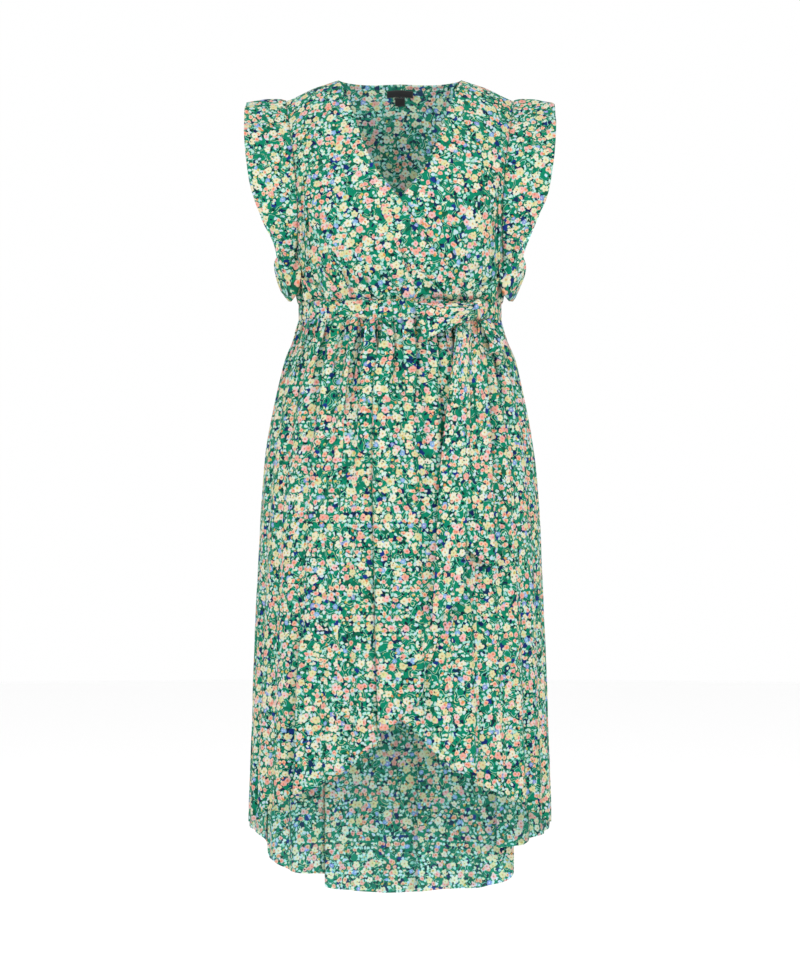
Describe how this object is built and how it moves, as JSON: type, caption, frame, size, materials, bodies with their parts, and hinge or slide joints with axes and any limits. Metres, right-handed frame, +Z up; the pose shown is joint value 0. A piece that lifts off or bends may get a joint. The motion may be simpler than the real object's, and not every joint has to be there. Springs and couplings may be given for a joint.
{
  "type": "wrap dress",
  "caption": "Surplice wrap dress in ditsy floral print with flutter sleeves, waistband tied in a side bow, and a tulip-wrap skirt with a high-low hem, worn open and hollow.",
  "frame": {"origin": "midway between the shoulders, where the wearer holds the dress up", "axes": "+Z up, -Y out of the front, +X towards the wearer's left"},
  "size_m": [0.5094, 0.3975, 1.3711],
  "materials": {
    "print": "matte woven viscose, green ground with small cream, coral and blue flowers",
    "label": "black woven satin label, plain"
  },
  "bodies": {
    "root": {"bodice_front_outer": "print", "bodice_front_under": "print", "bodice_back": "print", "sleeve_right": "print", "sleeve_left": "print", "waistband_front_outer": "print", "waistband_front_under": "print", "waistband_back": "print", "skirt_front_outer": "print", "skirt_front_under": "print", "skirt_back": "print", "tie_knot": "print", "tie_loop_inner": "print", "tie_loop_outer": "print", "tie_tail_long": "print", "tie_tail_short": "print", "neck_label": "label", "size_label": "label"}
  },
  "joints": []
}
